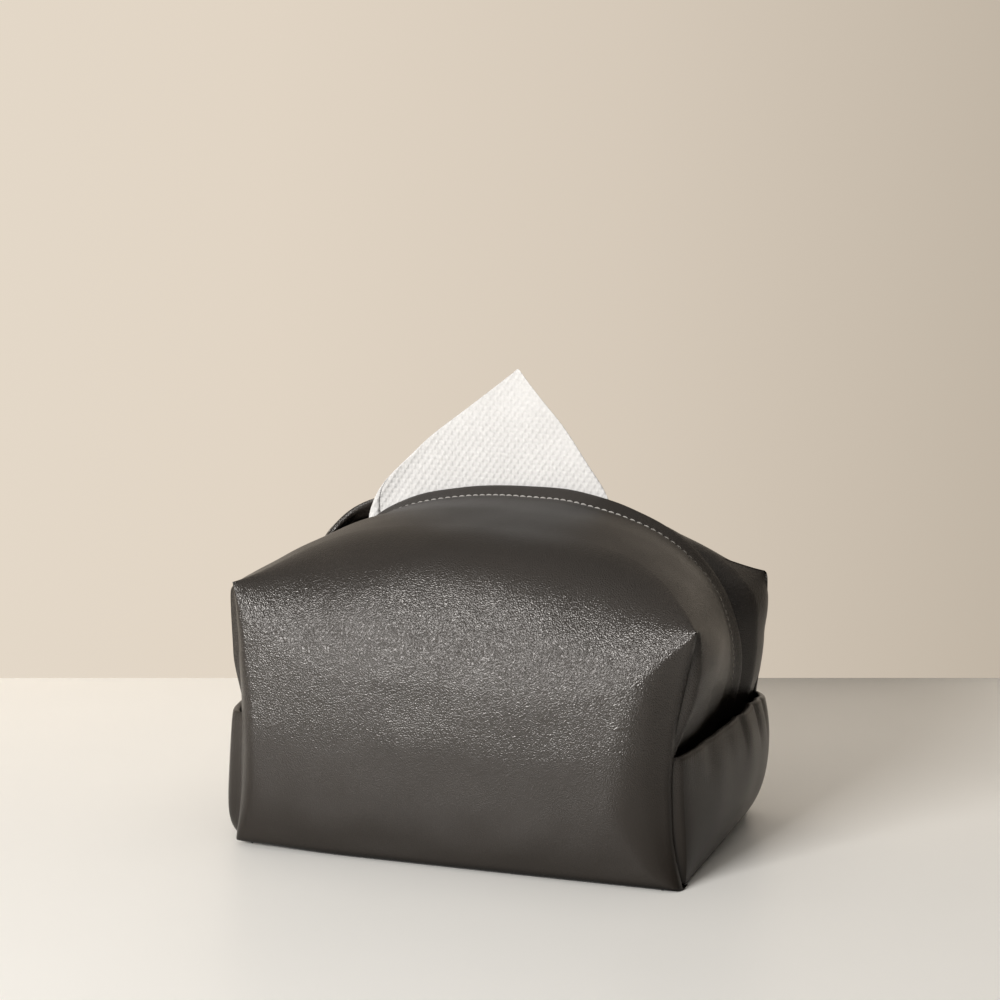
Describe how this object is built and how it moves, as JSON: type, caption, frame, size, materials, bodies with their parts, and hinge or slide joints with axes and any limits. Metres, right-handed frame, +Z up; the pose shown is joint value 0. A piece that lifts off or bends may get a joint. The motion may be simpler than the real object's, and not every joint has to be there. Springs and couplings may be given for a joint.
{
  "type": "soft tissue case",
  "caption": "Soft leather-look case for a refill pack of paper tissues, with boxed corners and a hemmed mouth along the top for pulling sheets.",
  "frame": {"origin": "on the table plane under the middle of the whole case's bounding box", "axes": "+X along the case to the right as seen from the front, +Y from the front face to the back, +Z up"},
  "size_m": [0.2213, 0.1352, 0.197],
  "materials": {
    "leather": "fine pebbled grain, satin, dark charcoal taupe",
    "leather_lining": "turned-in leather and seam allowances, matte, near black",
    "thread": "polyester topstitching thread, grey",
    "tissue_paper": "soft white embossed two-ply tissue",
    "folded_tissues": "soft white folded tissues, packed",
    "film": "thin milky film of a refill pack, unprinted"
  },
  "bodies": {
    "cover": {"front_panel": "leather", "front_shoulder_panel": "leather", "front_left_corner_seam": "leather_lining", "front_right_corner_seam": "leather_lining", "back_panel": "leather", "back_shoulder_panel": "leather", "back_left_corner_seam": "leather_lining", "back_right_corner_seam": "leather_lining", "base_panel": "leather", "left_end_flap": "leather", "right_end_flap": "leather", "left_end_seam": "leather_lining", "right_end_seam": "leather_lining", "refill_wrapper": "film", "tissue_stack": "folded_tissues"},
    "front_lip": {"front_lip_panel": "leather", "front_lip_hem": "leather_lining", "front_lip_stitching": "thread"},
    "back_lip": {"back_lip_panel": "leather", "back_lip_hem": "leather_lining", "back_lip_stitching": "thread"},
    "tissue": {"top_tissue": "tissue_paper"}
  },
  "joints": [
    {"name": "front_lip_open", "type": "hinge", "parent": "cover", "child": "front_lip", "pos_m": [0, 0.032, 0.058], "axis": [1, 0, 0], "range_deg": [0, 20], "stiffness_Nm_per_rad": 0.3, "springref_deg": -11.46, "deforming": ["front_lip_panel"]},
    {"name": "back_lip_open", "type": "hinge", "parent": "cover", "child": "back_lip", "pos_m": [0, 0.03, 0.058], "axis": [-1, 0, 0], "range_deg": [0, 4], "stiffness_Nm_per_rad": 0.3, "springref_deg": -11.46, "deforming": ["back_lip_panel"]},
    {"name": "tissue_pull", "type": "slide", "parent": "cover", "child": "tissue", "axis": [0, 0, 1], "range_m": [0, 0.12]}
  ]
}
